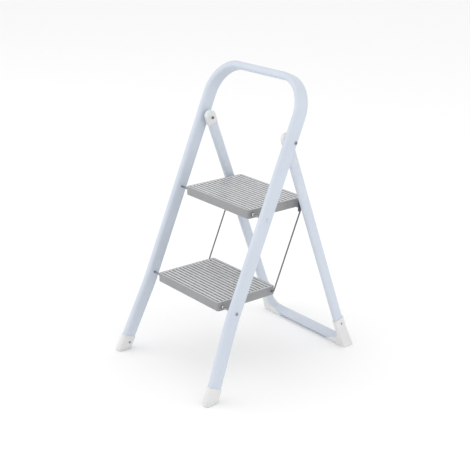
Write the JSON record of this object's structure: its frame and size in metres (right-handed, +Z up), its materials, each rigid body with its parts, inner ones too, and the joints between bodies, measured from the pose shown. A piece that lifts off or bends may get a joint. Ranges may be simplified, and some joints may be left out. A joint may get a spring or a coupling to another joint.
{
  "type": "step stool",
  "caption": "Folding step stool: a bent tube front frame with a high hand rail, a folding rear frame, ribbed treads on axle rods and thin wire links between them.",
  "frame": {"origin": "on the floor under the middle of the open stool's bounding box", "axes": "+X to the right of someone facing +Y and climbing, +Y from the front feet to the rear feet, +Z up"},
  "size_m": [0.43, 0.5524, 0.7954],
  "materials": {
    "painted_tube": "pale blue powder coat, semi-gloss",
    "rod_steel": "dull grey steel rod",
    "fastener_steel": "dark zinc-plated",
    "hook_steel": "black, satin",
    "tread_tray": "mid-grey, fine grained",
    "ribbed_mat": "light grey, ribbed, matt",
    "pale_plastic": "off-white, slightly translucent"
  },
  "bodies": {
    "front": {"front_foot_left": "pale_plastic", "front_foot_right": "pale_plastic", "front_foot_screw_left": "fastener_steel", "front_foot_screw_right": "fastener_steel", "front_frame": "painted_tube", "lower_axle": "rod_steel", "lower_axle_bush_left": "pale_plastic", "lower_axle_bush_right": "pale_plastic", "lower_axle_head_left": "fastener_steel", "lower_axle_head_right": "fastener_steel", "pivot_bolt_left": "fastener_steel", "pivot_bolt_right": "fastener_steel", "pivot_nut_left": "fastener_steel", "pivot_nut_right": "fastener_steel", "pivot_spacer_left": "pale_plastic", "pivot_spacer_right": "pale_plastic", "upper_axle": "rod_steel", "upper_axle_bush_left": "pale_plastic", "upper_axle_bush_right": "pale_plastic", "upper_axle_head_left": "painted_tube", "upper_axle_head_right": "painted_tube"},
    "rear": {"rear_cap_left": "pale_plastic", "rear_cap_right": "pale_plastic", "rear_cross_rod": "rod_steel", "rear_frame": "painted_tube", "rear_shoe_left": "pale_plastic", "rear_shoe_right": "pale_plastic", "rear_shoe_screw_left": "fastener_steel", "rear_shoe_screw_right": "fastener_steel"},
    "upper_tread": {"upper_tread_tray": "tread_tray", "upper_tread_mat": "ribbed_mat", "hook_plate_left": "hook_steel", "hook_plate_right": "hook_steel", "hook_rivet_left_1": "fastener_steel", "hook_rivet_left_2": "fastener_steel", "hook_rivet_right_1": "fastener_steel", "hook_rivet_right_2": "fastener_steel"},
    "lower_tread": {"lower_tread_tray": "tread_tray", "lower_tread_mat": "ribbed_mat"},
    "wire_left": {"wire_link_left": "rod_steel"},
    "wire_right": {"wire_link_right": "rod_steel"}
  },
  "joints": [
    {"name": "rear_fold", "type": "hinge", "parent": "front", "child": "rear", "pos_m": [0, 0.0267, 0.6357], "axis": [-1, 0, 0], "range_deg": [0, 39.5]},
    {"name": "upper_tread_fold", "type": "hinge", "parent": "front", "child": "upper_tread", "pos_m": [0, -0.06303, 0.45047], "axis": [1, 0, 0], "range_deg": [0, 63.8]},
    {"name": "lower_tread_fold", "type": "hinge", "parent": "front", "child": "lower_tread", "pos_m": [0, -0.16151, 0.22068], "axis": [1, 0, 0], "range_deg": [0, 63.8]},
    {"name": "wire_left_swing", "type": "hinge", "parent": "upper_tread", "child": "wire_left", "pos_m": [-0.143, 0.10097, 0.45177], "axis": [-1, 0, 0], "range_deg": [0, 63.8]},
    {"name": "wire_right_swing", "type": "hinge", "parent": "upper_tread", "child": "wire_right", "pos_m": [0.143, 0.10097, 0.45177], "axis": [-1, 0, 0], "range_deg": [0, 63.8]}
  ],
  "couplings": [
    {"joint": "upper_tread_fold", "follows": "rear_fold", "ratio": 1.61},
    {"joint": "lower_tread_fold", "follows": "rear_fold", "ratio": 1.61},
    {"joint": "wire_left_swing", "follows": "rear_fold", "ratio": 1.61},
    {"joint": "wire_right_swing", "follows": "rear_fold", "ratio": 1.61}
  ]
}
